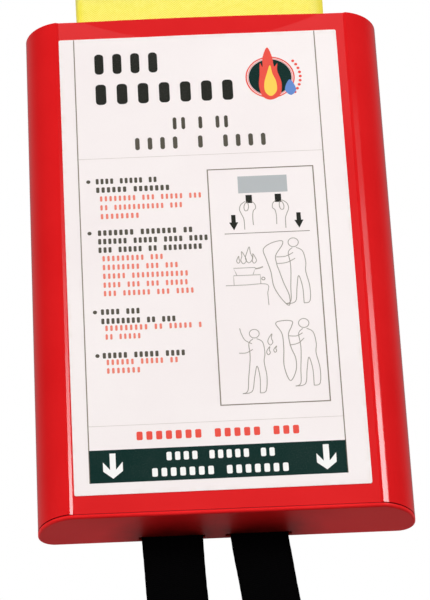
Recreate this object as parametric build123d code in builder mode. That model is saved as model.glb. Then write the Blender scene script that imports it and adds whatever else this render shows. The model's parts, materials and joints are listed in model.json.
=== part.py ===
"""Fire blanket in a wall case.

A two-shell moulded case, a push-fit bottom cap, the folded blanket and its two pull tapes.

Row frame: X to the right as seen from the front, Y into the wall, Z up, millimetres.
The origin lies on the wall plane (Y = 0), midway between the two keyholes that the case hangs on.
"""
import os
from math import radians, sqrt, tan

from build123d import *

# ---- driving dimensions ----
case_width = 184.0          # across the two rounded sides
case_depth = 29.0           # front of the side rails to the wall
case_height = 288.2         # top of the shells to the underside of the bottom cap
keyhole_drop = 40.8         # the keyholes sit this far below the top of the case
crease = 75.8               # where each side rail's round starts, from the middle
front_radius = 20.5         # the big round of each side rail
rear_radius = 8.5           # the smaller round at the back edges
wall = 2.0                  # moulded wall thickness
blanket_cloth = 900.0       # side of the square cloth
blanket_columns = 7         # folds across the width
blanket_rows = 3            # folds along the height
tape_width = 29.0           # woven pull tape

# ---- front panel ----
panel_recess = 0.5          # the flat panel lies this far behind the rails
panel_step = 1.5            # width of the slanting step between panel and rail
bulge_height = 1.0          # how far the open top edge of the panel bows out at its middle
bulge_drop = 14.0           # how far down the panel the bow reaches
bulge_reach = 62.0          # where it ends along the top edge, from the middle

# ---- bottom cap ----
cap_plate = 2.4             # thickness of its plate, which closes the whole section
cap_fit = 0.3               # gap between the cap's tabs and the shells
tab_height = 9.0            # how far its tabs reach up into the case
tab_wall = 1.5
front_tab_x = 35.0          # the straight tabs behind the front panel, from the middle
front_tab_width = 24.0
rear_tab_x = 76.0           # the small tabs behind the rear corners
rear_tab_width = 9.0
tab_from_corner = 1.0       # the curved side tabs start this far past the panel
tab_from_lip = 1.5          # and end this far in front of the back shell's lip
cap_edge_radius = 1.2
cap_groove = 0.6            # bevel along its upper rim, which leaves a thin groove under the shells
cap_travel = 15.0           # the cap slides this far down the tapes before it drops away
cap_corner_radius = 8.0     # eases the corner between its straight front and its rounds
slot_side_gap = 1.8         # room on each side of a tape in its slot
slot_face_gap = 0.4         # and in front of it and behind it
slot_corner = 1.0

# ---- guides, bosses, screws, keyholes ----
rib_inner = 66.2            # inner face of the blanket guide ribs, from the middle
rib_wall = 1.6
rib_front = -20.0
boss_x = 78.0
boss_radius = 3.6
pad_margin = 1.0            # the pads are this much wider than the bosses, all round
boss_end = -4.8             # where the front shell's bosses meet the back shell's pads
boss_from_ends = 25.0       # outermost bosses, from the top and the bottom of the shells
pilot_radius = 1.45
pilot_depth = 14.0
screw_radius = 1.4
screw_length = 12.0
screw_clearance = 0.2       # room round a screw where it passes through the back shell
head_radius = 2.8
head_height = 2.0
head_edge_radius = 0.8
head_recess_radius = 3.3
head_recess = 2.4
cross_slot = 0.7            # width of the cross recess in a screw head
cross_depth = 1.1
cross_share = 0.66          # length of the cross, as a share of the head's width
keyhole_spacing = 100.0
keyhole_radius = 4.5
keyhole_slot_radius = 2.3
keyhole_rise = 9.0

# ---- lip of the back shell inside the front shell ----
lip_wall = 1.5
lip_height = 3.0
lip_gap = 0.35
back_inset = 0.25           # the back shell's sides stand in by this much

# ---- label ----
label_width = 144.4
label_height = 265.0
label_thickness = 0.25
label_centre_x = -1.7       # stuck on slightly to the left
label_from_top = 10.8
label_turn = 0.22           # and slightly turned, degrees
label_corner = 1.0

# ---- soft parts ----
blanket_front = -24.4
blanket_back = -5.4
blanket_lift = 7.0          # the folded blanket starts this far above the cap plate
blanket_edge = 2.5          # rounding of the folded pack
tape_thickness = 2.4        # two layers of webbing
tape_y = -3.9               # middle of the tape's thickness
sewn_length = 48.0          # how far each tape reaches up behind the blanket
tape_gap = 0.5              # between a tape's sewn end and its free end
tape_drop = 102.2           # how far the tapes hang below the cap
hinge_clearance = 1.4       # they swing this far below the cap at the end of its travel
lean_drop = 2.2             # they hang straight for this far, then lean
left_tape_x = -26.9
right_tape_x = 15.4
left_tape_lean = 2.1        # how far each tape hangs off the vertical, degrees
right_tape_lean = 6.6
stitch_width = 0.7
stitch_height = 0.35
stitch_box = 20.0
tape_margin = 3.5           # from a tape's edge to its stitching

# ---- working blocks ----
overlap = 0.5               # they reach this far past the faces that trim them
spare = 10.0                # and this far past the label's ends

# ---- worked out from the above ----
half_width = case_width / 2
top = keyhole_drop
bottom = top - case_height
shell_bottom = bottom + cap_plate
shell_height = top - shell_bottom
rail_centre = half_width - front_radius
parting = -case_depth + sqrt(front_radius**2 - (crease - rail_centre) ** 2)
panel = -(case_depth - panel_recess)
panel_inner = panel + wall
inner_radius = front_radius - wall
inner_side = half_width - wall
inner_corner = rail_centre + sqrt(inner_radius**2 - (parting - panel_inner) ** 2)
back_side = half_width - back_inset
rear_corner = back_side - rear_radius
inner_rear_radius = rear_radius - wall
lip_outer = rail_centre + sqrt(inner_radius**2 - lip_height**2) - lip_gap
lip_inner = lip_outer - lip_wall
lip_root = -rear_radius + sqrt(inner_rear_radius**2 - (lip_inner - rear_corner) ** 2)
front_tab_wall = tab_wall - 0.1
pad_radius = boss_radius + pad_margin
head_face = head_height - head_recess
cross_length = cross_share * 2 * head_radius
blanket_width = blanket_cloth / blanket_columns
blanket_height = blanket_cloth / blanket_rows
blanket_bottom = shell_bottom + blanket_lift
lean_z = bottom - lean_drop
hinge_z = bottom - cap_travel - hinge_clearance - tape_thickness / 2
free_length = hinge_z - (bottom - tape_drop)
boss_z = (shell_bottom + boss_from_ends, (shell_bottom + top) / 2, top - boss_from_ends)
boss_places = [(sign * boss_x, z) for sign in (-1, 1) for z in boss_z]
# the bow is a shallow slice of a big ball: its rim on the panel is a circle that cuts the top edge
rim_radius = (bulge_reach**2 + bulge_drop**2) / (2 * bulge_drop)
rim_centre_z = top - bulge_drop + rim_radius
ball_radius = (rim_radius**2 - (rim_radius - bulge_drop) ** 2) / (2 * bulge_height)
ball_y = panel + sqrt(ball_radius**2 - rim_radius**2)


def wall_plane(y, z=0.0):
    """A sketch plane parallel to the wall at depth y, which extrudes away from the wall."""
    return Plane(origin=(0, y, z), x_dir=(1, 0, 0), z_dir=(0, -1, 0))


def finish(piece, label):
    """Labels a finished piece and writes it as its own STEP file."""
    piece.part.label = label
    export_step(piece.part, f"parts/{label}.step")


os.makedirs("parts", exist_ok=True)

# ---- front shell: panel, step, big rounds down to the parting line ----
with BuildPart() as front_shell:
    with BuildSketch(Plane.XY.offset(shell_bottom)):
        with BuildLine() as front_section:
            Polyline(
                (0, panel),
                (crease - panel_step, panel),
                (crease, -case_depth),
            )
            RadiusArc((crease, -case_depth), (half_width, parting), -front_radius)
            Line((half_width, parting), (inner_side, parting))
            RadiusArc((inner_side, parting), (inner_corner, panel_inner), inner_radius)
            Line((inner_corner, panel_inner), (0, panel_inner))
            mirror(about=Plane.YZ)
        make_face()
    extrude(amount=shell_height)
    # the bowed top edge, added outside and taken off inside, so the wall keeps its thickness
    with BuildPart(mode=Mode.PRIVATE) as bow:
        with BuildSketch(wall_plane(panel + overlap)):
            with Locations((0, top - bulge_drop / 2)):
                Rectangle(2 * bulge_reach, bulge_drop)
        extrude(amount=bulge_height + 2 * overlap)
        with Locations((0, ball_y, rim_centre_z)):
            Sphere(ball_radius, mode=Mode.INTERSECT)
    add(bow.part)
    # bosses that take the screws from the back
    with BuildSketch(wall_plane(boss_end)) as boss_ends:
        with Locations(*boss_places):
            Circle(boss_radius)
    extrude(until=Until.NEXT)
    with BuildSketch(wall_plane(boss_end)):
        with Locations(*boss_places):
            Circle(pilot_radius)
    extrude(amount=pilot_depth, mode=Mode.SUBTRACT)
finish(front_shell, "front_shell")

# ---- back shell: flat back, rear rounds, lip, guide ribs, pads, keyholes ----
with BuildPart() as back_shell:
    with BuildSketch(Plane.XY.offset(shell_bottom)):
        with BuildLine() as back_section:
            Line((0, 0), (rear_corner, 0))
            RadiusArc((rear_corner, 0), (back_side, -rear_radius), rear_radius)
            Polyline(
                (back_side, -rear_radius),
                (back_side, parting),
                (lip_outer, parting),
                (lip_outer, parting - lip_height),
                (lip_inner, parting - lip_height),
                (lip_inner, lip_root),
            )
            RadiusArc((lip_inner, lip_root), (rear_corner, -wall), -inner_rear_radius)
            Line((rear_corner, -wall), (0, -wall))
            mirror(about=Plane.YZ)
        make_face()
    extrude(amount=shell_height)
    # ribs that keep the folded blanket in line; they stop above the cap's plate
    with BuildSketch(Plane.XY.offset(shell_bottom)):
        for sign in (-1, 1):
            with Locations((sign * (rib_inner + rib_wall / 2), (rib_front - wall) / 2)):
                Rectangle(rib_wall, -wall - rib_front)
    extrude(amount=shell_height)
    # pads under the screw heads
    with BuildSketch(wall_plane(-wall / 2)):
        with Locations(*boss_places):
            Circle(pad_radius)
    extrude(amount=-boss_end - wall / 2)
    with BuildSketch(wall_plane(0)):
        with Locations(*boss_places):
            Circle(head_recess_radius)
    extrude(amount=head_recess, mode=Mode.SUBTRACT)
    with BuildSketch(wall_plane(0)):
        with Locations(*boss_places):
            Circle(screw_radius + screw_clearance)
    extrude(amount=-boss_end, mode=Mode.SUBTRACT)
    # keyholes: the screw head goes in at the round part, the shank rides up the slot
    with BuildSketch(wall_plane(0)):
        with GridLocations(keyhole_spacing, 0, 2, 1):
            Circle(keyhole_radius)
            with Locations((0, keyhole_rise / 2)):
                Rectangle(2 * keyhole_slot_radius, keyhole_rise)
            with Locations((0, keyhole_rise)):
                Circle(keyhole_slot_radius)
    extrude(amount=wall, mode=Mode.SUBTRACT)
finish(back_shell, "back_shell")

# ---- bottom cap: a plate over the whole section, tabs up into the case, two tape slots ----
with BuildPart() as bottom_cap:
    with BuildSketch(Plane.XY.offset(bottom)) as cap_outline:
        with BuildLine():
            Line((0, -case_depth), (crease, -case_depth))
            RadiusArc((crease, -case_depth), (half_width, parting), -front_radius)
            Line((half_width, parting), (half_width, -rear_radius))
            RadiusArc((half_width, -rear_radius), (half_width - rear_radius, 0), -rear_radius)
            Line((half_width - rear_radius, 0), (0, 0))
            mirror(about=Plane.YZ)
        make_face()
        front_corners = cap_outline.vertices().group_by(Axis.Y)[0].sort_by(Axis.X)
        fillet([front_corners[0], front_corners[-1]], cap_corner_radius)
    extrude(amount=cap_plate)
    fillet(bottom_cap.faces().sort_by(Axis.Z)[0].edges(), cap_edge_radius)
    chamfer(bottom_cap.faces().sort_by(Axis.Z)[-1].edges(), cap_groove)
    # curved side tabs that follow the inside of the front shell's rounds
    with BuildSketch(Plane.XY.offset(shell_bottom)):
        with BuildLine():
            tab_outer = inner_radius - cap_fit
            tab_inner = tab_outer - tab_wall
            side_y = parting - lip_height - tab_from_lip
            side = rail_centre + sqrt(tab_outer**2 - (parting - side_y) ** 2)
            side_in = rail_centre + sqrt(tab_inner**2 - (parting - side_y) ** 2)
            start = inner_corner + tab_from_corner
            start_y = parting - sqrt(tab_outer**2 - (start - rail_centre) ** 2)
            start_in_y = parting - sqrt(tab_inner**2 - (start - rail_centre) ** 2)
            RadiusArc((start, start_y), (side, side_y), -tab_outer)
            Line((side, side_y), (side_in, side_y))
            RadiusArc((side_in, side_y), (start, start_in_y), tab_inner)
            Line((start, start_in_y), (start, start_y))
        make_face()
        mirror(about=Plane.YZ)
        # two straight tabs behind the front panel, and one behind each rear corner
        for sign in (-1, 1):
            with Locations((sign * front_tab_x, panel_inner + cap_fit + front_tab_wall / 2)):
                Rectangle(front_tab_width, front_tab_wall)
            with Locations((sign * rear_tab_x, -wall - cap_fit - tab_wall / 2)):
                Rectangle(rear_tab_width, tab_wall)
    extrude(amount=tab_height)
    # slots for the tapes
    with BuildSketch(Plane.XY.offset(bottom)):
        with Locations((left_tape_x, tape_y), (right_tape_x, tape_y)):
            RectangleRounded(tape_width + 2 * slot_side_gap, tape_thickness + 2 * slot_face_gap, slot_corner)
    extrude(amount=cap_plate, mode=Mode.SUBTRACT)
finish(bottom_cap, "bottom_cap")

# ---- screws: pan heads with a cross recess, driven in from the back ----
with BuildPart() as case_screws:
    with BuildSketch(wall_plane(-head_recess)):
        with Locations(*boss_places):
            Circle(screw_radius)
    extrude(amount=screw_length)
    with BuildSketch(wall_plane(-head_recess)):
        with Locations(*boss_places):
            Circle(head_radius)
    extrude(amount=-head_height)
    head_rims = case_screws.edges().filter_by(GeomType.CIRCLE).group_by(Axis.Y)[-1]
    fillet(head_rims, head_edge_radius)
    with BuildSketch(wall_plane(head_face)):
        with Locations(*boss_places):
            Rectangle(cross_length, cross_slot)
            Rectangle(cross_slot, cross_length)
    extrude(amount=cross_depth, mode=Mode.SUBTRACT)
finish(case_screws, "case_screws")

# ---- label: a thin film that follows the panel and its bowed top ----
with BuildPart() as front_label:
    label_z = top - label_from_top - label_height / 2
    with BuildSketch(wall_plane(panel + overlap)):
        with Locations(Location((label_centre_x, label_z), label_turn)):
            RectangleRounded(label_width, label_height, label_corner)
    extrude(amount=bulge_height + 3 * overlap)
    with BuildPart(mode=Mode.PRIVATE) as label_skin:
        with BuildSketch(wall_plane(panel + overlap)):
            with Locations((0, label_z)):
                Rectangle(case_width, label_height + 2 * spare)
        extrude(amount=overlap + label_thickness)
        with Locations((0, ball_y, rim_centre_z)):
            Sphere(ball_radius + label_thickness)
    add(label_skin.part, mode=Mode.INTERSECT)
    add(front_shell.part, mode=Mode.SUBTRACT)
    with BuildPart(mode=Mode.PRIVATE) as behind_panel:
        with BuildSketch(wall_plane(panel + 2 * overlap)):
            with Locations((0, label_z)):
                Rectangle(case_width, label_height + 2 * spare)
        extrude(amount=2 * overlap)
    add(behind_panel.part, mode=Mode.SUBTRACT)
finish(front_label, "front_label")

# ---- folded blanket: the outer shape of the pack ----
with BuildPart() as fire_blanket:
    with BuildSketch(Plane.XY.offset(blanket_bottom)):
        with Locations((0, (blanket_front + blanket_back) / 2)):
            RectangleRounded(blanket_width, blanket_back - blanket_front, blanket_edge)
    extrude(amount=blanket_height)
finish(fire_blanket, "fire_blanket")


def band(outline):
    """A flat stretch of tape with this outline, given as (x, z) points."""
    with BuildPart() as piece:
        with BuildSketch(wall_plane(tape_y + tape_thickness / 2)):
            with BuildLine():
                Polyline(*outline, close=True)
            make_face()
        extrude(amount=tape_thickness)
    return piece


def sewn_end(centre_x, lean):
    """The stretch of a tape that is sewn to the back of the blanket and runs down through the cap's slot."""
    left, right = centre_x - tape_width / 2, centre_x + tape_width / 2
    upper_end = blanket_bottom + sewn_length
    lower_end = hinge_z + tape_thickness / 2 + tape_gap
    shift = (lean_z - lower_end) * tan(radians(lean))
    return band([
        (left, upper_end), (right, upper_end), (right, lean_z),
        (right + shift, lower_end), (left + shift, lower_end), (left, lean_z),
    ])


def free_end(centre_x, lean):
    """The hanging stretch of a tape: a flat band, rounded about the line that it swings on."""
    left = centre_x - tape_width / 2 + (lean_z - hinge_z) * tan(radians(lean))
    right = left + tape_width
    shift = free_length * tan(radians(lean))
    lower_end = hinge_z - free_length
    flat = band([
        (left, hinge_z), (right, hinge_z), (right + shift, lower_end), (left + shift, lower_end),
    ])
    with BuildPart() as piece:
        add(flat.part)
        with BuildSketch(Plane(origin=(left, tape_y, hinge_z), z_dir=(1, 0, 0))):
            Circle(tape_thickness / 2)
        extrude(amount=tape_width)
    return piece


def box_stitch(centre_x, centre_z):
    """A square of stitching with a cross in it, standing just proud of the back of a tape."""
    across = tape_width - 2 * tape_margin
    with BuildPart() as piece:
        with BuildSketch(wall_plane(tape_y + tape_thickness / 2 + stitch_height)):
            with Locations((centre_x, centre_z)):
                Rectangle(across, stitch_box)
                Rectangle(across - 2 * stitch_width, stitch_box - 2 * stitch_width, mode=Mode.SUBTRACT)
                diagonal = Vector(across - stitch_width, stitch_box - stitch_width)
                turn = Vector(1, 0).get_angle(diagonal)
                for sign in (-1, 1):
                    with Locations(Location((0, 0), sign * turn)):
                        Rectangle(diagonal.length, stitch_width)
        extrude(amount=stitch_height)
    return piece


sewn_middle = blanket_bottom + sewn_length / 2
for side_name, tape_x, tape_lean in (
    ("left", left_tape_x, left_tape_lean),
    ("right", right_tape_x, right_tape_lean),
):
    finish(sewn_end(tape_x, tape_lean), f"{side_name}_tape_sewn_end")
    finish(free_end(tape_x, tape_lean), f"{side_name}_pull_tape")
    finish(box_stitch(tape_x, sewn_middle), f"{side_name}_tape_stitching")
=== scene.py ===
"""Looks of the fire blanket: moulded red case, printed label, folded cloth and webbing tapes, in metres."""
import json
import math
import random

import bmesh
import bpy
from mathutils import Matrix, Vector, noise
from mathutils.bvhtree import BVHTree


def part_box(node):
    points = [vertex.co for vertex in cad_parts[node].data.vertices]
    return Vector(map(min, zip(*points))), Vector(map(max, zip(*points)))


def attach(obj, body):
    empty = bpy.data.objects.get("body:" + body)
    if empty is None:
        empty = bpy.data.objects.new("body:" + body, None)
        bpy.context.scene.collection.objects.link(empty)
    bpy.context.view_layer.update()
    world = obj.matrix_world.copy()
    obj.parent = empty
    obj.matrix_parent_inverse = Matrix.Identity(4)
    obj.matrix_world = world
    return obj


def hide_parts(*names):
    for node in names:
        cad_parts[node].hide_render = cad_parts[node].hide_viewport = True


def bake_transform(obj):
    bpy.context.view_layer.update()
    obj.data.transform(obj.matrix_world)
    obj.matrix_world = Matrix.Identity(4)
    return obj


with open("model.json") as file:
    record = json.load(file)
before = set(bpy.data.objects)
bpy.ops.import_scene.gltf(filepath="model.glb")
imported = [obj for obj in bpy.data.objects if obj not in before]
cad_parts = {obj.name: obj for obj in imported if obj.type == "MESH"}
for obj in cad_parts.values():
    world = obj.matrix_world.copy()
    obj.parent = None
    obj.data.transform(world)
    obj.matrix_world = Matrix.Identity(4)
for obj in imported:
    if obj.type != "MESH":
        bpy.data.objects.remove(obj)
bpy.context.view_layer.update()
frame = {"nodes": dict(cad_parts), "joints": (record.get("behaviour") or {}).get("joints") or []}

MM = 0.001

# ---- the object's own sizes, from the frame ----
shell_low, shell_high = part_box("front_shell")
cap_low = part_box("bottom_cap")[0]
label_low, label_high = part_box("front_label")
cloth_low, cloth_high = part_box("fire_blanket")
case_top = shell_high.z
case_bottom = cap_low.z
case_front = cap_low.y
bow_bottom = case_top - 22 * MM     # the panel and its label are flat up to here, and bow out near the top
label_centre_x = (label_low.x + label_high.x) / 2
label_centre_z = (label_low.z + label_high.z) / 2
label_turn = math.radians(0.22)     # the print sits a little askew on its film
label_tree = BVHTree.FromObject(frame["nodes"]["front_label"], bpy.context.evaluated_depsgraph_get())


# ================= small helpers =================

def smooth(low, high, value):
    """0 below low, 1 above high, and an S curve between."""
    t = min(max((value - low) / (high - low), 0.0), 1.0)
    return t * t * (3 - 2 * t)


def new_object(name, mesh_data, material, body, shade_smooth=True):
    mesh = bpy.data.meshes.new(name)
    if isinstance(mesh_data, bmesh.types.BMesh):
        mesh_data.to_mesh(mesh)
        mesh_data.free()
    else:
        mesh.from_pydata(*mesh_data)
    mesh.materials.append(material)
    for polygon in mesh.polygons:
        polygon.use_smooth = shade_smooth
    made = bpy.data.objects.new(name, mesh)
    bpy.context.scene.collection.objects.link(made)
    if body:
        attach(made, body)
    return made


# ================= materials =================

class NodeTree:
    """A node tree, with one short call for each node."""

    def __init__(self, tree):
        self.tree = tree

    def put(self, node, socket, value):
        """Sets an input to a value, or links it if the value is another node's output."""
        if isinstance(value, bpy.types.NodeSocket):
            self.tree.links.new(value, node.inputs[socket])
        else:
            node.inputs[socket].default_value = value

    def node(self, kind, sockets=None, **settings):
        made = self.tree.nodes.new(kind)
        for name, value in settings.items():
            setattr(made, name, value)
        for socket, value in (sockets or {}).items():
            self.put(made, socket, value)
        return made

    def math(self, operation, first, second=0.0):
        return self.node("ShaderNodeMath", {0: first, 1: second}, operation=operation).outputs[0]

    def axes(self, vector):
        """The X, Y and Z of a vector."""
        return self.node("ShaderNodeSeparateXYZ", {"Vector": vector}).outputs

    def span(self, value, low, high, to_low=0.0, to_high=1.0, kind="LINEAR"):
        sockets = {"Value": value, "From Min": low, "From Max": high, "To Min": to_low, "To Max": to_high}
        return self.node("ShaderNodeMapRange", sockets, interpolation_type=kind).outputs["Result"]


class Shader(NodeTree):
    """A material with a Principled surface, and the patterns that its looks are made from."""

    def __init__(self, name):
        self.material = bpy.data.materials.new(name)
        self.material.use_nodes = True
        super().__init__(self.material.node_tree)
        self.tree.nodes.clear()
        self.surface = self.tree.nodes.new("ShaderNodeBsdfPrincipled")
        output = self.tree.nodes.new("ShaderNodeOutputMaterial")
        self.tree.links.new(self.surface.outputs["BSDF"], output.inputs["Surface"])

    def set(self, **values):
        """Sets the surface's own sockets, with _ for each space in a socket's name."""
        for name, value in values.items():
            self.put(self.surface, name.replace("_", " "), value)

    def place(self):
        """Where a point is on its own object, before any pose."""
        return self.node("ShaderNodeTexCoord").outputs["Object"]

    def cut(self):
        """Where a point is on the flat cut: across and along it, in metres."""
        return self.axes(self.node("ShaderNodeUVMap", uv_map="cut").outputs["UV"])

    def noise(self, scale, detail=3.0, rough=0.5, at=None):
        sockets = {"Scale": scale, "Detail": detail, "Roughness": rough}
        sockets["Vector"] = self.place() if at is None else at
        return self.node("ShaderNodeTexNoise", sockets).outputs["Fac"]

    def stretch(self, scale):
        sockets = {"Vector": self.place(), "Scale": scale}
        return self.node("ShaderNodeMapping", sockets).outputs["Vector"]

    def mix(self, factor, first, second):
        made = self.node("ShaderNodeMix", data_type="RGBA")
        self.put(made, 0, factor)
        self.put(made, 6, first)
        self.put(made, 7, second)
        return made.outputs[2]

    def bump(self, height, painted_lightness, distance, normal=None):
        sockets = {"Height": height, "Strength": painted_lightness, "Distance": distance}
        if normal is not None:
            sockets["Normal"] = normal
        return self.node("ShaderNodeBump", sockets).outputs["Normal"]


def painted_slot_shadow(s, red):
    """Painted shadow of the hanging tapes on the cap's underside: darkest at the cap's slots and fading out
    around them.
    """
    fades_out, darkest, wobble_reach = 25 * MM, 1 * MM, 1.5 * MM
    # The near-black red of the painted shadow.
    shadow_red = (0.030, 0.006, 0.002, 1)
    place = s.axes(s.place())
    for side_name in ("left", "right"):
        low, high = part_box(f"{side_name}_tape_stitching")
        middle, reach = (low + high) / 2, (high.x - low.x) / 2
        aside = s.math("ABSOLUTE", s.math("SUBTRACT", place["X"], middle.x))
        beyond = s.math("MAXIMUM", s.math("SUBTRACT", aside, reach), 0.0)
        behind = s.math("ABSOLUTE", s.math("SUBTRACT", place["Y"], middle.y))
        distance = s.math("SQRT", s.math("ADD", s.math("POWER", beyond, 2.0), s.math("POWER", behind, 2.0)))
        # Painted shadow: the red darkens with nearness to each tape's slot, with a noisy edge.
        edge_wobble = s.span(s.noise(140.0, 4.0), 0.3, 0.7, -wobble_reach, wobble_reach)
        shadow_mask = s.span(s.math("ADD", distance, edge_wobble), fades_out, darkest, 0.0, 0.95)
        red = s.mix(s.math("POWER", shadow_mask, 1.3), red, shadow_red)
    return red


def moulded_red(name, roughness, specular, painted_lightness=1.0, slot_shadow=False):
    """Glossy ABS: red with a faint mottle, orange peel, fine scuffs, a rubbed top rim and painted shade in
    the seam groove.
    """
    s = Shader(name)
    # A value above 1 gives a lighter painted copy of the same red, standing in for light.
    deep, light = (
        (painted_lightness * r, painted_lightness * g, painted_lightness * b, 1)
        for r, g, b in ((0.675, 0.0090, 0.0108), (0.715, 0.0118, 0.0136))
    )
    rubbed_red, groove_shade_red = (0.80, 0.06, 0.05, 1), (0.22, 0.003, 0.006, 1)
    red = s.mix(s.span(s.noise(28.0, 4.0), 0.3, 0.7), deep, light)
    height = s.axes(s.place())["Z"]
    near_top = s.span(height, case_top - 0.9 * MM, case_top)
    rubbed = s.math("MULTIPLY", near_top, s.span(s.noise(260.0, 5.0), 0.5, 0.62))
    red = s.mix(s.math("MULTIPLY", rubbed, 0.55), red, rubbed_red)
    # Painted shade: a thin dark line on the cap just under the shells' lower edge, where the seam groove
    # lies in shadow.
    seam = shell_low.z
    above_cap = s.span(height, seam - 0.75 * MM, seam - 0.45 * MM)
    groove_shade = s.math("MULTIPLY", above_cap, s.span(height, seam + 0.15 * MM, seam))
    red = s.mix(s.math("MULTIPLY", groove_shade, 0.75), red, groove_shade_red)
    # Painted shadow of the hanging tapes round the cap's slots.
    if slot_shadow:
        red = painted_slot_shadow(s, red)
    scuff = s.span(s.noise(1.0, 5.0, 0.7, s.stretch((900.0, 900.0, 38.0))), 0.62, 0.74)
    haze = s.span(s.noise(45.0, 4.0, 0.5), 0.35, 0.75, -0.01, 0.015)
    rough = s.math("ADD", s.math("ADD", haze, roughness), s.math("MULTIPLY", scuff, 0.05))
    peel = s.bump(s.noise(520.0, 2.0), 0.05, 0.1 * MM)
    s.set(Base_Color=red, Roughness=rough, Normal=peel, Specular_IOR_Level=specular, IOR=1.5)
    return s.material


def label_film():
    """White vinyl film with a faint warm tint, a fine grain and slightly soiled borders."""
    s = Shader("label_film")
    grain = s.noise(1400.0, 4.0, 0.6)
    cloud = s.noise(22.0, 3.0)
    white = s.mix(s.span(cloud, 0.3, 0.7), (0.862, 0.792, 0.786, 1), (0.888, 0.826, 0.816, 1))
    white = s.mix(s.span(grain, 0.35, 0.75, 0.0, 0.25), white, (0.82, 0.76, 0.75, 1))
    place = s.axes(s.place())
    from_centre = s.math("ABSOLUTE", s.math("SUBTRACT", place["X"], label_centre_x))
    from_middle = s.math("ABSOLUTE", s.math("SUBTRACT", place["Z"], label_centre_z))
    half_width = (label_high.x - label_low.x) / 2
    half_height = (label_high.z - label_low.z) / 2
    border = s.math(
        "MAXIMUM",
        s.span(from_centre, half_width - 3 * MM, half_width - 0.4 * MM),
        s.span(from_middle, half_height - 3 * MM, half_height - 0.4 * MM),
    )
    soiled = s.math("MULTIPLY", border, s.span(s.noise(180.0, 4.0), 0.45, 0.7, 0.0, 0.35))
    white = s.mix(soiled, white, (0.70, 0.60, 0.52, 1))
    s.set(Base_Color=white, Roughness=s.span(grain, 0.3, 0.7, 0.36, 0.46))
    s.set(Normal=s.bump(grain, 0.08, 0.05 * MM), Specular_IOR_Level=0.35)
    return s.material


def ink(name, colour):
    """Screen-printed ink: the label's white shows a little through the thin parts."""
    s = Shader(name)
    thin = s.span(s.noise(1600.0, 4.0, 0.65), 0.50, 0.75, 0.0, 0.03)
    patch = s.span(s.noise(60.0, 2.0), 0.3, 0.7, 0.0, 0.006)
    shown = s.mix(s.math("ADD", thin, patch), colour + (1,), (0.72, 0.69, 0.67, 1))
    s.set(Base_Color=shown, Roughness=s.span(s.noise(300.0), 0.3, 0.7, 0.55, 0.68))
    s.set(Specular_IOR_Level=0.04)
    return s.material


def glass_cloth():
    """Yellow coated glass cloth: a fine herringbone whose twill lines turn back every few millimetres."""
    s = Shader("glass_cloth")
    twill_pitch, twill_band, thread_pitch, unevenness = 1.35 * MM, 5.2 * MM, 0.55 * MM, 0.25 * MM
    cut = s.cut()
    across, along = cut["X"], cut["Y"]
    wander = s.span(s.noise(160.0, 2.0), 0.0, 1.0, -unevenness, unevenness)
    zigzag = s.math("PINGPONG", across, twill_band)
    phase = s.math("DIVIDE", s.math("ADD", s.math("ADD", along, zigzag), wander), twill_pitch)
    ridge = s.math("SINE", s.math("MULTIPLY", phase, 2 * math.pi))
    threads = s.math("SINE", s.math("MULTIPLY", across, 2 * math.pi / thread_pitch))
    weave = s.math("ADD", s.math("MULTIPLY", ridge, 0.75), s.math("MULTIPLY", threads, 0.25))
    slub = s.span(s.noise(420.0, 4.0, 0.6), 0.3, 0.7)
    pale = s.mix(slub, (0.95, 0.885, 0.16, 1), (0.97, 0.92, 0.235, 1))
    deep = s.mix(slub, (0.79, 0.65, 0.022, 1), (0.86, 0.73, 0.045, 1))
    yellow = s.mix(s.span(weave, -0.9, 0.7), deep, pale)
    cloud = s.span(s.noise(18.0, 3.0), 0.3, 0.7, 0.0, 0.12)
    yellow = s.mix(cloud, yellow, (0.86, 0.73, 0.06, 1))
    # Painted shade: the yellow turns deeper within a few millimetres of the folded left and right sides,
    # where the cloth turns away from the light.
    aside = s.math("ABSOLUTE", s.axes(s.place())["X"])
    fold_shade = s.span(aside, cloth_high.x - 4.0 * MM, cloth_high.x - 1.5 * MM, 0.0, 0.65)
    yellow = s.mix(fold_shade, yellow, (0.88, 0.76, 0.022, 1))
    s.set(Base_Color=yellow, Roughness=s.span(weave, -1.0, 1.0, 0.66, 0.52))
    s.set(Normal=s.bump(weave, 0.35, 0.12 * MM), Specular_IOR_Level=0.4)
    s.set(Sheen_Weight=0.25, Sheen_Roughness=0.5)
    return s.material


def webbing():
    """Black woven tape: fine cross ribs and a chevron down the middle of the weave, with a little fuzz."""
    s = Shader("webbing")
    chevron_band, rib_pitch, yarn_pitch = 2.4 * MM, 1.05 * MM, 0.62 * MM
    cut = s.cut()
    across, along = cut["X"], cut["Y"]
    chevron = s.math("PINGPONG", across, chevron_band)
    phase = s.math("DIVIDE", s.math("ADD", along, s.math("MULTIPLY", chevron, 0.35)), rib_pitch)
    ribs = s.math("SINE", s.math("MULTIPLY", phase, 2 * math.pi))
    yarn = s.math("SINE", s.math("MULTIPLY", across, 2 * math.pi / yarn_pitch))
    weave = s.math("ADD", s.math("MULTIPLY", ribs, 0.7), s.math("MULTIPLY", yarn, 0.3))
    fuzz = s.noise(1500.0, 4.0, 0.7)
    black = s.mix(s.span(weave, -1.0, 1.0), (0.0005, 0.0005, 0.0006, 1), (0.0018, 0.0017, 0.0019, 1))
    black = s.mix(s.span(fuzz, 0.55, 0.8, 0.0, 0.4), black, (0.0045, 0.0045, 0.0048, 1))
    s.set(Base_Color=black, Roughness=s.span(weave, -1.0, 1.0, 0.85, 0.68))
    s.set(Normal=s.bump(weave, 0.5, 0.15 * MM), Specular_IOR_Level=0.012)
    return s.material


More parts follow.
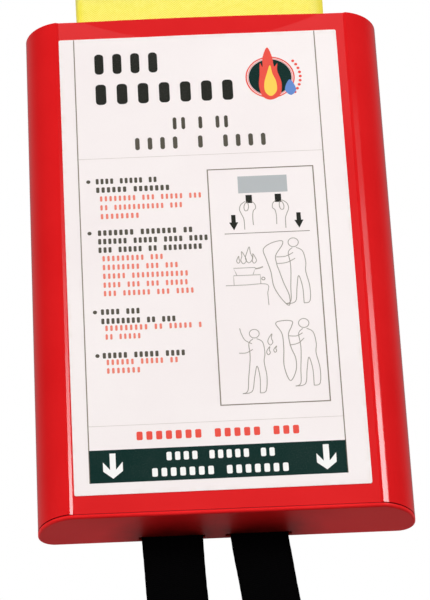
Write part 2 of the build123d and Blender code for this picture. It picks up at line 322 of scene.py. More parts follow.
def sewing_thread(name, colour):
    """Bonded thread with a visible twist."""
    s = Shader(name)
    twist = s.node("ShaderNodeTexWave", {"Vector": s.place(), "Scale": 1400.0, "Distortion": 2.0})
    darker = tuple(c * 0.5 for c in colour) + (1,)
    s.set(Base_Color=s.mix(twist.outputs["Fac"], darker, colour + (1,)), Roughness=0.55)
    s.set(Normal=s.bump(twist.outputs["Fac"], 0.4, 0.05 * MM))
    return s.material


def zinc_plate():
    """Bright zinc with a faint yellowish passivation."""
    s = Shader("zinc_plate")
    tint = s.span(s.noise(240.0, 4.0), 0.35, 0.7)
    grey = s.mix(tint, (0.62, 0.63, 0.65, 1), (0.70, 0.67, 0.58, 1))
    s.set(Base_Color=grey, Metallic=1.0, Roughness=s.span(s.noise(900.0, 4.0), 0.3, 0.7, 0.22, 0.42))
    s.set(Normal=s.bump(s.noise(1100.0, 3.0), 0.1, 0.05 * MM))
    return s.material


def studio_floor():
    """Pale paper with a faint mottle, which glows a little so that it is pale all the way out."""
    s = Shader("studio_floor")
    grey = s.mix(s.span(s.noise(3.0, 4.0), 0.3, 0.7), (0.80, 0.80, 0.79, 1), (0.84, 0.84, 0.83, 1))
    s.set(Base_Color=grey, Roughness=0.8, Emission_Color=grey, Emission_Strength=0.30)
    return s.material


# ================= camera, light and floor =================

def camera():
    """A long lens from below the case, a little to its left, looking up at it."""
    distance = 1.761
    pitch, yaw, roll = (math.radians(angle) for angle in (29.74, -1.71, -3.095))
    right_of_label, below_label = 1.3 * MM, 26.9 * MM
    target = Vector((label_centre_x + right_of_label, case_front, label_centre_z - below_label))
    back = Vector((
        math.sin(yaw) * math.cos(pitch),
        -math.cos(yaw) * math.cos(pitch),
        -math.sin(pitch),
    ))
    level = Vector((math.cos(yaw), math.sin(yaw), 0))
    upright = level.cross(-back)
    right = level * math.cos(roll) + upright * math.sin(roll)
    up = upright * math.cos(roll) - level * math.sin(roll)
    made = bpy.data.objects.new("camera", bpy.data.cameras.new("camera"))
    made.data.sensor_width = 36.0
    made.data.lens = 212.0
    made.data.clip_end = 50.0
    place = Matrix((right, up, back)).transposed().to_4x4()
    place.translation = target + back * distance
    made.matrix_world = place
    bpy.context.scene.collection.objects.link(made)
    bpy.context.scene.camera = made


def softbox(name, azimuth, elevation, distance, width, height, radiance, glossy=True):
    """A soft rectangular light that shines on the case. Azimuth 0 is in front, positive to the right."""
    a, e = math.radians(azimuth), math.radians(elevation)
    data = bpy.data.lights.new(name, "AREA")
    data.shape = "RECTANGLE"
    data.size = width
    data.size_y = height
    data.energy = radiance * math.pi * width * height
    made = bpy.data.objects.new(name, data)
    aim = Vector((0, case_front, (case_top + case_bottom) / 2))
    out = Vector((math.sin(a) * math.cos(e), -math.cos(a) * math.cos(e), math.sin(e)))
    made.location = aim + out * distance
    made.rotation_euler = out.to_track_quat("Z", "Y").to_euler()
    made.visible_glossy = glossy
    bpy.context.scene.collection.objects.link(made)


def surround():
    """A pale room with a dim belt at the height of the lights, and a white backdrop behind the case."""
    world = bpy.data.worlds.new("surround")
    world.use_nodes = True
    nodes = NodeTree(world.node_tree)
    direction = nodes.node("ShaderNodeTexCoord").outputs["Generated"]
    axes = nodes.axes(direction)
    backdrop_way = (0, 0.868, 0.496)        # behind the case and above it

    def ramp(value, low, high, to_low, to_high):
        return nodes.span(value, low, high, to_low, to_high, kind="SMOOTHSTEP")

    under_belt = ramp(axes["Z"], 0.22, 0.36, 1.0, 0.0)
    over_floor = ramp(axes["Z"], -0.30, -0.10, 0.0, 0.66)
    low_part = nodes.math("MULTIPLY", under_belt, over_floor)
    high_part = ramp(axes["Z"], 0.70, 0.92, 0.0, 0.62)
    belt = ramp(axes["Y"], -0.1, 0.6, 0.05, 0.24)
    room = nodes.math("ADD", nodes.math("ADD", low_part, high_part), belt)
    toward = nodes.node("ShaderNodeVectorMath", {0: direction, 1: backdrop_way}, operation="DOT_PRODUCT")
    backdrop = ramp(toward.outputs["Value"], 0.972, 0.990, 0.0, 1.0)
    background = world.node_tree.nodes["Background"]
    nodes.put(background, "Color", (1.0, 1.0, 1.0, 1))
    nodes.put(background, "Strength", nodes.math("MAXIMUM", room, backdrop))
    bpy.context.scene.world = world


def key_light():
    """A tall light on the right, with three short ones stacked on it that make it fade towards its top."""
    azimuth, elevation, distance, width = 37, 16.5, 2.0, 0.50
    fade_height = 0.10
    for name, height, radiance in (
        ("key", 0.62, 18.5),
        ("key_fade_1", fade_height, 8.0),
        ("key_fade_2", fade_height, 2.9),
        ("key_fade_3", fade_height, 0.8),
    ):
        softbox(name, azimuth, elevation, distance, width, height, radiance)
        elevation += math.degrees((height + fade_height) / 2 / distance)


def studio_lights():
    """The key, a glow in front that is brighter above, fills, and dim lights from below behind."""
    key_light()
    # name, azimuth, elevation, distance, width, height, radiance, seen in gloss
    for settings in (
        ("front_glow_low", 0, 27, 2.5, 1.25, 0.56, 0.27, True),
        ("front_glow_high", 0, 40.5, 2.5, 1.25, 0.57, 0.95, True),
        ("fill_left", -62, 8, 2.4, 1.4, 1.2, 4.8, False),
        ("fill_front", 0, -18, 2.6, 1.6, 0.8, 4.1, False),
        ("below_left", -150, -30, 1.5, 1.5, 0.9, 0.95, False),
        ("below_right", 150, -30, 1.5, 1.5, 0.9, 0.95, False),
        ("below", 180, -68, 1.5, 1.2, 0.8, 0.95, False),
    ):
        softbox(*settings)


def floor_below():
    """A wide pale floor well below the case, which the case neither reflects nor takes light from."""
    reach, drop = 30.0, 1.1
    corners = [(-reach, -reach, 0), (reach, -reach, 0), (reach, reach, 0), (-reach, reach, 0)]
    floor = new_object("floor", (corners, [], [(0, 1, 2, 3)]), studio_floor(), None, shade_smooth=False)
    floor.location.z = case_bottom - drop
    floor.visible_diffuse = False
    floor.visible_glossy = False


def studio():
    surround()
    studio_lights()
    floor_below()
    bpy.context.scene.view_settings.view_transform = "Standard"


camera()
studio()


# ================= the moulded case =================

def dress_case():
    """The case's own meshes are shown as they are, each with its material."""
    red = moulded_red("moulded_red", 0.09, 0.33)
    looks = {
        "front_shell": red,
        "back_shell": red,
        # The cap is the shells' red painted 1.16 times lighter: painted light on its downturned faces.
        "bottom_cap": moulded_red("moulded_red_cap", 0.42, 0.12, painted_lightness=1.16, slot_shadow=True),
        "case_screws": zinc_plate(),
        "front_label": label_film(),
    }
    for node_name, material in looks.items():
        frame["nodes"][node_name].data.materials[0] = material


dress_case()


# ================= the label's print =================
# Shapes are in millimetres from the label's middle, x to the right and z up. Words are plain blocks.

print_left, print_right = -64.7, 60.5       # left edges of the two upright rules
print_low, print_high = -126.2, 132.3
rule_width, hairline = 0.55, 0.25
line_width = 0.42                           # of the pictures' outlines


def bar(x0, x1, z0, z1):
    return [(x0, z0), (x1, z0), (x1, z1), (x0, z1)]


def rounded_bar(x0, x1, z0, z1, radius, steps=4):
    left, right, low, high = x0 + radius, x1 - radius, z0 + radius, z1 - radius
    points = []
    for quarter, (cx, cz) in enumerate(((right, high), (left, high), (left, low), (right, low))):
        for i in range(steps + 1):
            angle = (quarter + i / steps) * math.pi / 2
            points.append((cx + radius * math.cos(angle), cz + radius * math.sin(angle)))
    return points


def disc(cx, cz, radius, steps=48):
    return [
        (cx + radius * math.cos(2 * math.pi * i / steps), cz + radius * math.sin(2 * math.pi * i / steps))
        for i in range(steps)
    ]


def curve_through(points, closed=False, steps=6):
    """A smooth Catmull-Rom line through the points."""
    count = len(points)
    made = []
    last = count if closed else count - 1
    for i in range(last):
        if closed:
            p = [points[(i + j - 1) % count] for j in range(4)]
        else:
            p = [points[min(max(i + j - 1, 0), count - 1)] for j in range(4)]
        for k in range(steps):
            t = k / steps
            made.append(tuple(
                0.5 * (2 * p[1][a] + (p[2][a] - p[0][a]) * t
                       + (2 * p[0][a] - 5 * p[1][a] + 4 * p[2][a] - p[3][a]) * t * t
                       + (3 * p[1][a] - p[0][a] - 3 * p[2][a] + p[3][a]) * t ** 3)
                for a in (0, 1)
            ))
    if not closed:
        made.append(points[-1])
    return made


def stroke(points, width, closed=False):
    """The quads of a line of that width along the points."""
    count = len(points)
    left, right = [], []
    for i, (x, z) in enumerate(points):
        before = points[(i - 1) % count] if closed or i else points[0]
        after = points[(i + 1) % count] if closed or i < count - 1 else points[-1]
        way = Vector((after[0] - before[0], after[1] - before[1])).normalized()
        left.append((x - way.y * width / 2, z + way.x * width / 2))
        right.append((x + way.y * width / 2, z - way.x * width / 2))
    quads = []
    for i in range(count if closed else count - 1):
        j = (i + 1) % count
        quads.append([right[i], right[j], left[j], left[i]])
    return quads


def drawn(points, width=line_width, closed=False):
    return stroke(curve_through(points, closed), width, closed)


def words(x, z, height, pitch, lengths, share=0.60):
    """A line of words from x on, with its feet at z: each letter is a plain block."""
    made = []
    place = x
    corner = min(0.16 * height, 0.25 * pitch)
    for length in lengths:
        for i in range(length):
            left = place + i * pitch + pitch * (1 - share) / 2
            made.append(rounded_bar(left, left + pitch * share, z, z + height, corner))
        place += (length + 1) * pitch
    return made


def cut_in_cells(mesh, cell):
    """Cuts the flat shapes along a grid, so that they can follow the label's bowed top."""
    for axis, size in ((Vector((1, 0, 0)), cell * 2), (Vector((0, 0, 1)), cell)):
        low = min(vertex.co.dot(axis) for vertex in mesh.verts)
        high = max(vertex.co.dot(axis) for vertex in mesh.verts)
        for i in range(math.ceil(low / size), math.floor(high / size) + 1):
            parts = mesh.verts[:] + mesh.edges[:] + mesh.faces[:]
            bmesh.ops.bisect_plane(mesh, geom=parts, plane_co=axis * (i * size), plane_no=axis, dist=1e-7)


def printed(name, shapes, material, lift):
    """Thin closed slips of ink that stand just proud of the label's face and follow it."""
    cell, sunk, far_in_front = 2.5 * MM, 0.03, 20 * MM
    mesh = bmesh.new()
    cos_turn, sin_turn = math.cos(label_turn), math.sin(label_turn)
    for shape in shapes:
        mesh.faces.new([
            mesh.verts.new((
                label_centre_x + (x * cos_turn - z * sin_turn) * MM,
                0,
                label_centre_z + (x * sin_turn + z * cos_turn) * MM,
            ))
            for x, z in shape
        ])
    if max(vertex.co.z for vertex in mesh.verts) > bow_bottom:
        cut_in_cells(mesh, cell)
    for vertex in mesh.verts:
        start = Vector((vertex.co.x, label_low.y - far_in_front, vertex.co.z))
        vertex.co.y = label_tree.ray_cast(start, Vector((0, 1, 0)))[0].y - lift * MM
    fronts = mesh.faces[:]
    backs = bmesh.ops.extrude_face_region(mesh, geom=fronts, use_keep_orig=True)["geom"]
    for part in backs:
        if isinstance(part, bmesh.types.BMVert):
            part.co.y += (lift + sunk) * MM
    bmesh.ops.recalc_face_normals(mesh, faces=mesh.faces)
    return new_object(name, mesh, material, "case", shade_smooth=False)


def frame_lines():
    """The two upright rules and the fainter rules across."""
    start = print_left + rule_width + 0.05
    upright = [bar(x, x + rule_width, print_low, print_high) for x in (print_left, print_right)]
    across = [bar(start, print_right, z, z + hairline) for z in (58.8, -95.2)]
    return upright, across


def picture_box():
    """The box round the three pictures, and a line under the first of them."""
    left, right, low, high, thick = 1.4, 54.6, -86.0, 49.3, 0.6
    return [
        bar(left - thick, left, low - thick, high + thick),
        bar(right, right + thick, low - thick, high + thick),
        bar(left, right, high, high + thick),
        bar(left, right, low - thick, low),
        bar(8.0, 51.0, 11.0, 11.4),
    ]


def down_arrow(x, z, width, height, shaft, head):
    """A solid arrow with its point at x, z."""
    return [
        (x, z), (x + width / 2, z + head), (x + shaft / 2, z + head), (x + shaft / 2, z + height),
        (x - shaft / 2, z + height), (x - shaft / 2, z + head), (x - width / 2, z + head),
    ]


def barbed_arrow(x, z, width, height, shaft, head):
    """An arrow whose head sweeps back on both sides, with its point at x, z."""
    rise = 0.42 * width
    return [
        (x, z), (x + width / 2, z + rise), (x + width / 2, z + rise + head),
        (x + shaft / 2, z + head * 0.95), (x + shaft / 2, z + height),
        (x - shaft / 2, z + height), (x - shaft / 2, z + head * 0.95),
        (x - width / 2, z + rise + head), (x - width / 2, z + rise),
    ]


def hand(x, z, side):
    """A simple fist that holds a tape's end at x, z. Side is -1 for its mirror image."""
    def at(points):
        return [(x - side * px, z + pz) for px, pz in points]

    fist = at([(1.9, 1.4), (4.3, -0.6), (5.0, -3.6), (3.9, -6.8), (3.1, -9.5), (3.0, -15.2)])
    knuckles = at([(-0.9, 1.6), (-2.8, -0.4), (-3.1, -2.9), (-1.9, -4.4), (-1.4, -8.0), (-1.5, -12.8)])
    thumb = at([(0.9, 0.8), (0.4, -1.8), (1.1, -4.0), (2.4, -4.0), (2.7, -1.8), (1.9, 0.3)])
    return drawn(fist) + drawn(knuckles) + drawn(thumb, closed=True)


def flame_tongue(x, z, height, lean):
    """One small tongue of flame, wide at the foot and leaning at the tip."""
    w = 0.22 * height
    side = [(0, 0), (w, 0.25 * height), (0.55 * w, 0.62 * height), (lean, height),
            (-0.35 * w, 0.62 * height), (-0.75 * w, 0.28 * height)]
    return curve_through([(x + px, z + pz) for px, pz in side], closed=True, steps=4)


def person(x, z, height, lean=0.0):
    """A plain standing figure with its feet at x, z: a blank round head over a trunk and legs."""
    def at(points):
        return [(x + px * height + lean * pz * height, z + pz * height) for px, pz in points]

    head_height = 0.93 * height
    head = disc(x + lean * head_height, z + head_height, 0.068 * height, 20)
    back = at([
        (0.03, 0.85), (0.11, 0.79), (0.135, 0.62), (0.12, 0.48), (0.15, 0.25), (0.13, 0.03), (0.05, 0.0),
    ])
    front = at([
        (-0.02, 0.85), (-0.08, 0.78), (-0.07, 0.62), (-0.075, 0.48), (-0.10, 0.25), (-0.12, 0.04),
        (-0.19, 0.0),
    ])
    inside = at([(0.05, 0.0), (0.055, 0.24), (0.02, 0.42), (-0.02, 0.24), (-0.06, 0.03), (-0.19, 0.0)])
    return stroke(head, line_width, closed=True) + drawn(back) + drawn(front) + drawn(inside)


def pull_picture():
    """Two hands pull the tapes down out of the case."""
    case_grey = [bar(16.2, 41.2, 34.9, 44.9)]
    black = [bar(19.7, 22.9, 28.9, 33.7), bar(34.5, 37.7, 28.9, 33.7)]
    black += [down_arrow(12.9, 13.2, 4.6, 9.0, 2.2, 4.6), down_arrow(45.9, 13.2, 4.6, 9.0, 2.2, 4.6)]
    lines = hand(21.3, 28.6, 1) + hand(36.1, 28.6, -1)
    return case_grey, black, lines


def cover_picture():
    """A person lowers the blanket over a burning pan on a hob."""
    lines = drawn([(7.0, -18.9), (17.0, -18.9), (27.6, -19.0), (27.7, -24.5), (27.9, -31.0)], 0.38)
    lines += stroke([(11.2, -18.6), (11.2, -13.3), (24.6, -13.3), (24.6, -18.6)], 0.38)
    lines += stroke([(12.8, -13.0), (11.4, -9.0), (22.4, -9.0), (21.0, -13.0)], 0.38)
    lines += drawn([(22.2, -9.8), (24.4, -9.4), (26.2, -8.7)], 0.7)
    lines += stroke(disc(26.0, -15.6, 0.8, 12), 0.5, closed=True)
    for x, z, height, lean in (
        (13.9, -6.2, 4.2, 0.5), (16.5, -6.6, 7.2, -0.6), (19.2, -6.2, 9.4, 0.7), (21.9, -6.5, 5.6, -0.4),
    ):
        lines += stroke(flame_tongue(x, z, height, lean), 0.4, closed=True)
    lines += person(43.6, -30.6, 38.0, -0.04)
    lines += drawn([(41.8, -1.2), (37.8, -3.2), (33.2, -3.4)])
    lines += drawn([(42.6, -4.6), (38.4, -6.8), (33.4, -7.3)])
    blanket = [
        (33.0, -2.4), (36.6, 3.6), (36.2, 6.0), (30.6, 4.6), (26.9, 1.2), (28.2, -4.8), (30.0, -12.0),
        (31.0, -20.4), (34.4, -27.6), (38.0, -31.6), (38.4, -26.0), (36.0, -18.5), (34.3, -12.0),
        (33.2, -7.6),
    ]
    lines += drawn(blanket, 0.46, closed=True)
    return lines


def wrap_picture():
    """One person holds the blanket out to another, whose clothes burn."""
    lines = person(19.0, -80.4, 36.0, 0.02)
    lines += drawn([(18.2, -52.6), (14.9, -50.4), (13.2, -46.6), (12.6, -43.6)])
    lines += drawn([(18.4, -55.8), (15.2, -57.6), (11.6, -57.6)])
    for x, z, height, lean in ((26.0, -59.2, 4.6, 1.0), (27.2, -53.8, 6.4, 1.2), (29.4, -58.0, 3.6, 1.0)):
        lines += stroke(flame_tongue(x, z, height, lean), 0.4, closed=True)
    lines += person(45.6, -77.4, 38.0, -0.03)
    lines += drawn([(43.6, -47.6), (40.6, -49.2), (36.8, -49.0)])
    lines += drawn([(44.2, -50.6), (41.0, -53.4), (36.8, -54.2)])
    blanket = [
        (36.6, -48.2), (38.4, -43.6), (38.8, -40.8), (34.6, -40.2), (30.6, -41.6), (33.4, -47.6),
        (33.8, -56.0), (33.4, -66.0), (35.9, -74.2), (39.0, -69.0), (39.4, -62.0), (37.4, -55.4),
    ]
    lines += drawn(blanket, 0.46, closed=True)
    return lines


def badge():
    """A generic fire badge: a flame and a drop on a dark disc inside a thin ring, with dots beside it."""
    x, z = 36.4, 104.4
    dots, dots_out, first_dot, dot_step = 9, 15.6, 38, 9.5

    def around(points, steps):
        return curve_through([(x + aside, z + up) for aside, up in points], closed=True, steps=steps)

    ring = stroke(disc(x, z, 12.4, 64), 0.7, closed=True) + stroke(disc(x, z, 11.5, 64), 0.3, closed=True)
    for i in range(dots):
        angle = math.radians(first_dot - dot_step * i)
        ring.append(disc(x + dots_out * math.cos(angle), z + dots_out * math.sin(angle), 0.8, 12))
    field = [disc(x, z, 11.1, 64)]
    outer = around([
        (-0.4, -13.8), (4.6, -11.0), (5.7, -3.6), (3.9, 3.8), (4.2, 8.4), (2.4, 6.6), (1.6, 13.0),
        (-0.6, 18.6), (-3.2, 12.6), (-3.6, 6.6), (-4.8, 8.8), (-5.4, 1.2), (-6.0, -5.0), (-4.6, -11.4),
    ], 5)
    inner = around([
        (-0.2, -11.6), (2.9, -8.6), (3.0, -3.0), (1.3, 2.2), (0.3, 7.4), (-1.7, 2.0), (-3.2, -3.6),
        (-3.0, -8.8),
    ], 5)
    drop = around([(10.0, -1.8), (13.0, -7.8), (10.2, -11.4), (7.2, -7.8)], 6)
    return ring, field, [outer], [inner], [drop]


def step_text():
    """Four steps, each with a dot, bold lines, and then paler lines in a second colour."""
    bold, pale = [], []
    bold_left, pale_left = -56.3, -54.6
    bold_height, pale_height = 3.2, 3.1
    dot_radius = 1.05
    steps = (
        (-60.6, ((43.7, 2.45, (4, 5, 2)), (38.6, 2.72, (6, 7))),
         ((33.4, 2.38, (8, 3, 5, 3)), (28.1, 2.36, (2, 11, 3)), (22.9, 2.55, (8,)))),
        (-61.0, ((13.2, 2.70, (7, 7, 2)), (8.2, 2.55, (6, 5, 4, 4)), (3.2, 2.52, (3, 5, 2, 8))),
         ((-1.8, 2.42, (9, 3)), (-6.9, 2.42, (8, 3, 3)), (-12.0, 2.42, (5, 12)),
          (-17.1, 2.40, (4, 3, 3, 5)), (-22.0, 2.42, (3, 6, 3, 4)))),
        (-59.8, ((-32.6, 2.52, (4, 3)), (-37.9, 2.52, (8, 2, 3))),
         ((-41.9, 2.45, (9, 2, 5, 1)), (-46.8, 2.30, (2, 5)))),
        (-59.4, ((-57.4, 2.60, (5, 5, 4)),),
         ((-61.2, 2.42, (6, 5, 2)), (-66.0, 2.50, (7,)))),
    )
    for dot_x, bold_rows, pale_rows in steps:
        for i, (z, pitch, lengths) in enumerate(bold_rows):
            bold += words(bold_left, z, bold_height, pitch, lengths)
            if i == 0:
                bold.append(disc(dot_x + 1.0, z + bold_height / 2, dot_radius, 20))
        for z, pitch, lengths in pale_rows:
            pale += words(pale_left, z, pale_height, pitch, lengths, share=0.50)
    return bold, pale


def label_inks():
    """Every printing ink of the label, by its name."""
    colours = {
        "black": (0.020, 0.021, 0.017),
        "grey": (0.095, 0.085, 0.066),
        "rule": (0.24, 0.205, 0.165),
        "faint": (0.62, 0.56, 0.53),
        "line": (0.36, 0.33, 0.29),
        "red": (0.78, 0.085, 0.062),
        "pale_red": (0.80, 0.22, 0.16),
        "band": (0.0040, 0.025, 0.021),
        "silver": (0.44, 0.46, 0.47),
        "white": (0.88, 0.87, 0.85),
        "yellow": (0.93, 0.60, 0.10),
        "blue": (0.13, 0.25, 0.58),
    }
    return {name: ink(f"ink_{name}", colour) for name, colour in colours.items()}


def large_words():
    """The title, the two rows of the size, the bold line under the steps, and the rows on the band."""
    title = words(-56.4, 110.3, 12.4, 9.3, (4,), 0.50)
    title += words(-56.8, 91.6, 12.4, 10.9, (7,), 0.50)
    size_rows = words(-16.4, 74.8, 7.4, 4.4, (2, 1, 2), 0.44)
    size_rows += words(-37.0, 63.2, 7.4, 6.45, (4, 1, 4), 0.36)
    after_use = words(-41.8, -103.6, 4.7, 4.78, (7, 5, 3), 0.62)
    band_words = words(-27.6, -115.3, 4.6, 4.18, (4, 5, 2), 0.6)
    band_words += words(-35.0, -123.9, 4.6, 4.54, (7, 7), 0.6)
    return title, size_rows, after_use, band_words


def label_print():
    inks = label_inks()
    thin, thick, darkest = 0.05, 0.09, 0.12
    upright, across = frame_lines()
    title, size_rows, after_use, band_words = large_words()
    bold, pale = step_text()
    band = [bar(-64.4, 60.9, print_low, -108.3)]
    band_arrows = [barbed_arrow(x, -124.0, 9.6, 13.7, 2.9, 5.0) for x in (-53.0, 50.9)]
    case_grey, arrows, hands = pull_picture()
    ring, field, outer, inner, drop = badge()
    for name, shapes, ink_name, lift in (
        ("label_rules", upright, "rule", thin),
        ("label_faint_rules", across, "faint", thin),
        ("label_picture_box", picture_box(), "rule", thin),
        ("label_title", title, "black", thick),
        ("label_size_lines", size_rows, "grey", thin),
        ("label_steps", bold, "grey", thin),
        ("label_steps_second", pale, "pale_red", thin),
        ("label_after_use", after_use, "red", thin),
        ("label_band", band, "band", thin),
        ("label_band_print", band_words + band_arrows, "white", thick),
        ("label_picture_case", case_grey, "silver", thin),
        ("label_picture_arrows", arrows, "black", thin),
        ("label_pictures", hands + cover_picture() + wrap_picture(), "line", thin),
        ("label_badge_ring", ring, "red", thin),
        ("label_badge_field", field, "band", thin),
        ("label_badge_flame", outer, "red", thick),
        ("label_badge_flame_core", inner, "yellow", darkest),
        ("label_badge_drop", drop, "blue", thick),
    ):
        printed(name, shapes, inks[ink_name], lift)


label_print()


# ================= the folded blanket =================

cloth_side = 0.9
cloth_layers = 7            # panels across, folded first
cloth_stacks = 3            # then folded twice along its length
cloth_thickness = 0.42 * MM
hem_thickness = 0.80 * MM
hem_width = 11 * MM
layer_pitch = (cloth_high.y - cloth_low.y) / (cloth_layers * cloth_stacks)
stack_depth = cloth_layers * layer_pitch


def across_the_folds():
    """The first folds, as (x, t, distance along the cloth), with t the height in a stack of seven layers.

    The front layer's free edge is on the right. It wraps round the left side to become the back layer,
    and the rest of the cloth zigzags between the two."""
    left, right = cloth_low.x, cloth_high.x
    tight = layer_pitch / 2
    wrap = (cloth_layers - 1) * layer_pitch / 2
    inner_left = left + 1.9 * layer_pitch
    cut_short = 2.5 * MM                    # by how much the last panel ends before the others
    level = [(i + 0.5) * layer_pitch for i in range(cloth_layers)]
    points = []

    def run(x0, x1, t, steps=14):
        points.extend((x0 + (x1 - x0) * i / steps, t) for i in range(steps + 1))

    def turn(x, t, radius, side, start, steps):
        """Half a circle round (x, t), bulging to side, from its low or high end."""
        for i in range(1, steps):
            angle = start * (math.pi / 2 - math.pi * i / steps)
            points.append((x + side * radius * math.cos(angle), t + radius * math.sin(angle)))

    run(right, left + wrap, level[-1])
    turn(left + wrap, (level[-1] + level[0]) / 2, wrap, -1, 1, 14)
    run(left + wrap, right - tight, level[0])
    last = cloth_layers - 3
    for i in range(last + 1):
        goes_right = i % 2 == 0
        x = right - tight if goes_right else inner_left + tight
        turn(x, (level[i] + level[i + 1]) / 2, tight, 1 if goes_right else -1, -1, 8)
        if goes_right:
            run(right - tight, inner_left + (tight if i < last else cut_short), level[i + 1])
        else:
            run(inner_left + tight, right - tight, level[i + 1])
    lengths = [0.0]
    for before, after in zip(points, points[1:]):
        lengths.append(lengths[-1] + math.dist(before, after))
    scale = cloth_side / lengths[-1]
    return [(x, t, length * scale) for (x, t), length in zip(points, lengths)]


def along_the_folds(t):
    """The second folds for a point at height t in its stack, as (y, z) from the cloth's one end on."""
    back = cloth_high.y
    middle = back - 2 * stack_depth
    low, high = cloth_low.z, cloth_high.z
    upper = high - stack_depth
    lower = low + stack_depth
    top_radius = max(stack_depth - t, 0.35 * layer_pitch)
    bottom_radius = max(t, 0.35 * layer_pitch)
    straight, bend = 26, 9
    points = []
    for i in range(straight + 1):
        points.append((back - t, low + (upper - low) * i / straight))
    for i in range(1, bend):
        angle = math.pi * i / bend
        y = back - stack_depth + top_radius * math.cos(angle)
        points.append((y, upper + top_radius * math.sin(angle)))
    for i in range(straight + 1):
        points.append((middle + t, upper + (lower - upper) * i / straight))
    for i in range(1, bend):
        angle = math.pi * i / bend
        points.append((middle + bottom_radius * math.cos(angle), lower - bottom_radius * math.sin(angle)))
    for i in range(straight + 1):
        points.append((middle - t, lower + (high - lower) * i / straight))
    return points


def settle(x, y, z, u, v):
    """Small unevenness of a hand-folded pack: slack panels, ends that don't line up, a loosened top."""
    slack, loosened, uneven_left, uneven_right = 0.22 * MM, 1.1 * MM, 0.7 * MM, 0.9 * MM
    edge_width, top_reach = 9 * MM, 12 * MM
    above = smooth(case_top - top_reach, cloth_high.z, z)
    forward = (cloth_high.y - y) / (cloth_high.y - cloth_low.y)
    y += noise.noise(Vector((x * 26, z * 14, 3.0))) * slack - loosened * above * forward * forward
    edge_left = smooth(cloth_low.x + edge_width, cloth_low.x, x)
    x += edge_left * noise.noise(Vector((y * 160, z * 17, 9.0))) * uneven_left
    edge_right = smooth(cloth_high.x - edge_width, cloth_high.x, x)
    x += edge_right * noise.noise(Vector((y * 150, z * 15, 5.0))) * uneven_right
    free_top = smooth(0.80, 0.90, v)
    z += free_top * (noise.noise(Vector((u * 9, 0.0, 1.7))) * 1.6 - 1.4) * MM
    free_bottom = smooth(0.10, 0.0, v)
    z += free_bottom * (noise.noise(Vector((u * 8, 4.0, 2.2))) * 1.2 + 1.0) * MM
    return Vector((x, y, z))


def thin_sheet(name, grid, coordinates, thickness_at, material, body):
    """A closed thin mesh round a grid of points, with a UV map that holds the cut's own measures."""
    rows, columns = len(grid), len(grid[0])
    mesh = bmesh.new()
    cut = mesh.loops.layers.uv.new("cut")
    sides = ([], [])
    measure = {}
    for i in range(rows):
        for j in range(columns):
            down = grid[min(i + 1, rows - 1)][j] - grid[max(i - 1, 0)][j]
            over = grid[i][min(j + 1, columns - 1)] - grid[i][max(j - 1, 0)]
            normal = over.cross(down).normalized()
            half = thickness_at(i, j) / 2
            for side, sign in zip(sides, (1, -1)):
                vertex = mesh.verts.new(grid[i][j] + normal * half * sign)
                measure[vertex] = coordinates[i][j]
                side.append(vertex)

    def quad(a, b, c, d):
        face = mesh.faces.new((a, b, c, d))
        for loop in face.loops:
            loop[cut].uv = measure[loop.vert]

    front, back = sides
    for i in range(rows - 1):
        for j in range(columns - 1):
            a, b = i * columns + j, i * columns + j + 1
            c, d = (i + 1) * columns + j + 1, (i + 1) * columns + j
            quad(front[a], front[b], front[c], front[d])
            quad(back[d], back[c], back[b], back[a])
    rim = list(range(columns))
    rim += [i * columns + columns - 1 for i in range(1, rows)]
    rim += [(rows - 1) * columns + j for j in range(columns - 2, -1, -1)]
    rim += [i * columns for i in range(rows - 2, 0, -1)]
    for a, b in zip(rim, rim[1:] + rim[:1]):
        quad(front[b], front[a], back[a], back[b])
    bmesh.ops.recalc_face_normals(mesh, faces=mesh.faces)
    return new_object(name, mesh, material, body)


def folded_blanket():
    grid, coordinates = [], []
    for x, t, u in across_the_folds():
        line = along_the_folds(t)
        lengths = [0.0]
        for before, after in zip(line, line[1:]):
            lengths.append(lengths[-1] + math.dist(before, after))
        share = [cloth_side * length / lengths[-1] for length in lengths]
        grid.append([settle(x, y, z, u, v) for (y, z), v in zip(line, share)])
        coordinates.append([(u, v) for v in share])

    def thickness_at(i, j):
        u, v = coordinates[i][j]
        in_hem = smooth(hem_width + MM, hem_width, min(u, v, cloth_side - u, cloth_side - v))
        return cloth_thickness + (hem_thickness - cloth_thickness) * in_hem

    blanket = thin_sheet("folded_blanket", grid, coordinates, thickness_at, glass_cloth(), "blanket")
    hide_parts("fire_blanket")


folded_blanket()


# ================= the pull tapes =================

def stitch(mesh, start, end, radius):
    """One stitch: a short rounded run of thread that dips in at both ends."""
    outward = Vector((0, 1, 0))
    side = (end - start).normalized().cross(outward).normalized()
    rings = []
    stations, around = 6, 8
    dip, bluntness = 0.6, 0.04
    for i in range(stations + 1):
        t = i / stations
        swell = math.sqrt(max(1 - (2 * t - 1) ** 2, bluntness))
        centre = start.lerp(end, t) - outward * (1 - swell) * radius * dip
        rings.append([
            mesh.verts.new(centre + (side * math.cos(a) + outward * math.sin(a)) * radius * swell)
            for a in (2 * math.pi * k / around for k in range(around))
        ])
    for low, high in zip(rings, rings[1:]):
        for k in range(around):
            n = (k + 1) % around
            mesh.faces.new((low[k], low[n], high[n], high[k]))
    mesh.faces.new(rings[0][::-1])
    mesh.faces.new(rings[-1])


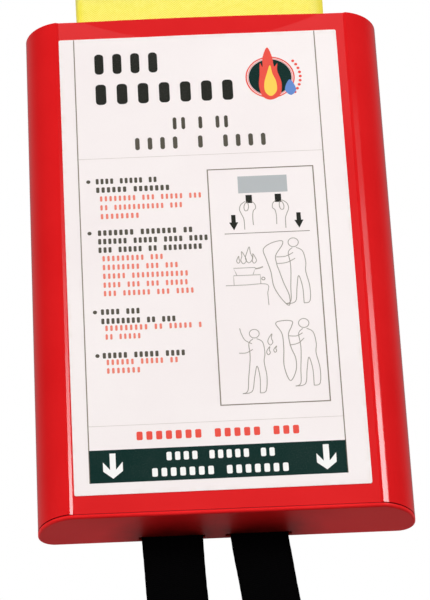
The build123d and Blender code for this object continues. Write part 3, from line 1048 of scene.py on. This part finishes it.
def box_stitching(side_name, thread):
    """The square with a cross that sews a tape to the cloth, as separate stitches."""
    low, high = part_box(f"{side_name}_tape_stitching")
    y = (low.y + high.y) / 2
    inset, stitch_pitch, thread_radius, gap = 0.35 * MM, 2.6 * MM, 0.26 * MM, 0.08
    corners = [
        Vector((low.x + inset, y, low.z + inset)), Vector((high.x - inset, y, low.z + inset)),
        Vector((high.x - inset, y, high.z - inset)), Vector((low.x + inset, y, high.z - inset)),
    ]
    runs = [(corners[i], corners[(i + 1) % 4]) for i in range(4)]
    runs += [(corners[0], corners[2]), (corners[1], corners[3])]
    mesh = bmesh.new()
    for start, end in runs:
        count = round((end - start).length / stitch_pitch)
        for i in range(count):
            a, b = start.lerp(end, (i + gap) / count), start.lerp(end, (i + 1 - gap) / count)
            stitch(mesh, a, b, thread_radius)
    bmesh.ops.recalc_face_normals(mesh, faces=mesh.faces)
    stitching = new_object(f"{side_name}_box_stitching", mesh, thread, "blanket")
    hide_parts(f"{side_name}_tape_stitching")


def upper_edge(side_name, top):
    """The left and right ends of the upper edge of a tape's sewn end."""
    reached = [
        vertex.co.x for vertex in frame["nodes"][f"{side_name}_tape_sewn_end"].data.vertices
        if vertex.co.z > top - 1 * MM
    ]
    return min(reached), max(reached)


def double_path(y, top, bottom, spread, slide):
    """Down in front of y, round the lower bend and up behind it, as (y, z, sideways slip)."""
    straight, bend = 64, 8
    path = []
    for i in range(straight + 1):
        path.append((y - spread, top + (bottom - top) * i / straight, -slide))
    for i in range(1, bend):
        angle = math.pi * i / bend
        slip = slide * (2 * i / bend - 1)
        path.append((y - spread * math.cos(angle), bottom - spread * math.sin(angle), slip))
    for i in range(straight + 1):
        path.append((y + spread, bottom + (top - bottom) * i / straight, slide))
    return path


def pull_tape(side_name, seed, material, spare, aside):
    """One webbing tape folded double: sewn to the cloth at the top, it hangs through the cap as a loop."""
    sewn_low, sewn_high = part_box(f"{side_name}_tape_sewn_end")
    free_low, free_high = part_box(f"{side_name}_pull_tape")
    joint = next(j for j in frame["joints"] if j["child"] == f"{side_name}_tape")
    hinge = Vector(joint["pos_m"])
    left, right = upper_edge(side_name, sewn_high.z)
    width = right - left
    middle = (right + left) / 2 + aside
    thick = 1.02 * MM
    spread = (sewn_high.y - sewn_low.y) / 2 - thick / 2 - 0.05 * MM
    slope = (free_high.x - free_low.x - width) / (hinge.z - free_low.z)
    lean_start = hinge.z + (hinge.x + aside - middle) / slope
    draw = random.Random(seed)
    slide = draw.uniform(0.5, 0.8) * MM
    edge_wave, wave_length = 0.10 * MM, 2.1 * MM
    uneven_width, uneven_face = 0.55 * MM, 0.10 * MM

    def lean(z):
        """How far the tape's middle has moved to the right at height z."""
        return slope * max(lean_start - z, 0.0)

    path = double_path(hinge.y, sewn_high.z, free_low.z + spread + thick / 2, spread, slide)
    columns = 14
    grid, coordinates = [], []
    run = 0.0
    for i, (y, z, offset) in enumerate(path):
        if i:
            run += math.dist(path[i - 1][:2], (y, z))
        row, marks = [], []
        for j in range(columns + 1):
            share = j / columns - 0.5
            across = share * (width + spare - 2 * slide)
            if j in (0, columns):
                across += math.copysign(edge_wave * math.sin(run * 2 * math.pi / wave_length + j), share)
            across += noise.noise(Vector((share * 3, z * 38, seed + 5))) * uneven_width
            ripple = noise.noise(Vector((share * 2.2, z * 30, seed))) * uneven_face
            row.append(Vector((middle + lean(z) + offset + across, y + ripple, z)))
            marks.append((share * width, run))
        grid.append(row)
        coordinates.append(marks)

    def thickness_at(i, j):
        return thick * (0.62 if j in (0, columns) else 1.0)

    tape = thin_sheet(f"{side_name}_webbing_tape", grid, coordinates, thickness_at, material, None)
    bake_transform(tape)
    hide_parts(f"{side_name}_tape_sewn_end", f"{side_name}_pull_tape")


black_webbing = webbing()
black_thread = sewing_thread("black_thread", (0.020, 0.020, 0.022))
pull_tape("left", 1, black_webbing, spare=0.2 * MM, aside=0.35 * MM)
pull_tape("right", 2, black_webbing, spare=-0.7 * MM, aside=0.5 * MM)
for side_name in ("left", "right"):
    box_stitching(side_name, black_thread)
